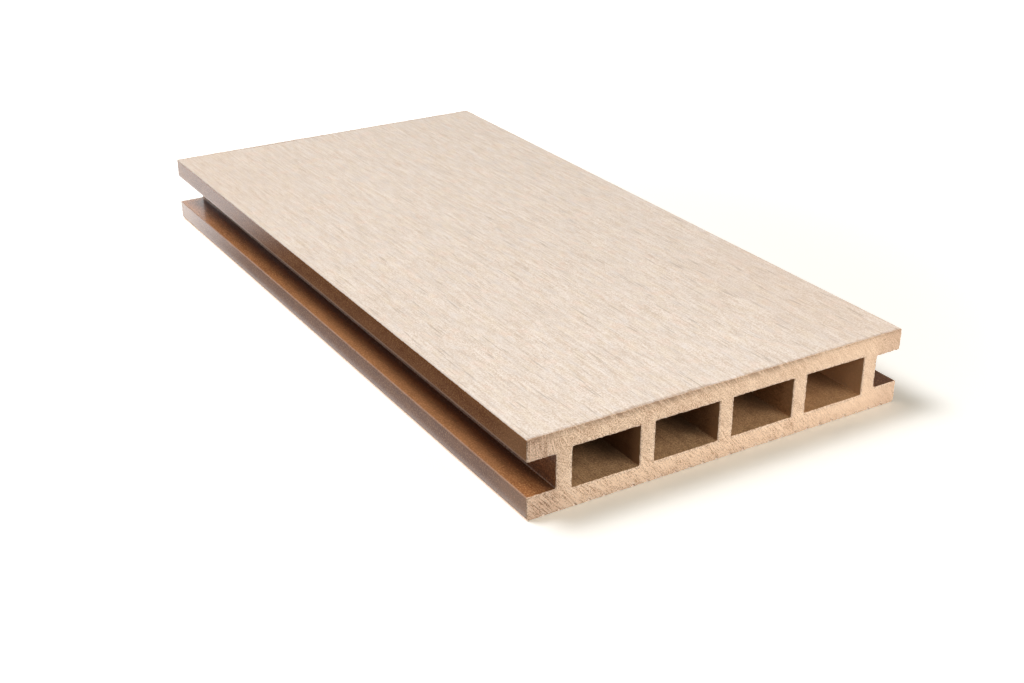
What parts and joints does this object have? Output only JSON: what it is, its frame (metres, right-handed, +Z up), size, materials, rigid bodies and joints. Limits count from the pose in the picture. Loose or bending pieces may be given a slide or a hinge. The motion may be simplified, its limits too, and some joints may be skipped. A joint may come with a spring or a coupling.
{
  "type": "hollow decking board",
  "caption": "Short hollow composite decking board with a brushed upper face, rectangular chambers, clip grooves along both sides and a reeded underside.",
  "frame": {"origin": "on the underside, at the middle of the board's width and length", "axes": "+X across the board, +Y along it, +Z up through its thickness towards the brushed face"},
  "size_m": [0.15, 0.3, 0.028],
  "materials": {
    "composite": "brushed pale upper face, sawn tan ends, satin brown extruded skin elsewhere"
  },
  "bodies": {
    "root": {"decking_board": "composite"}
  },
  "joints": []
}
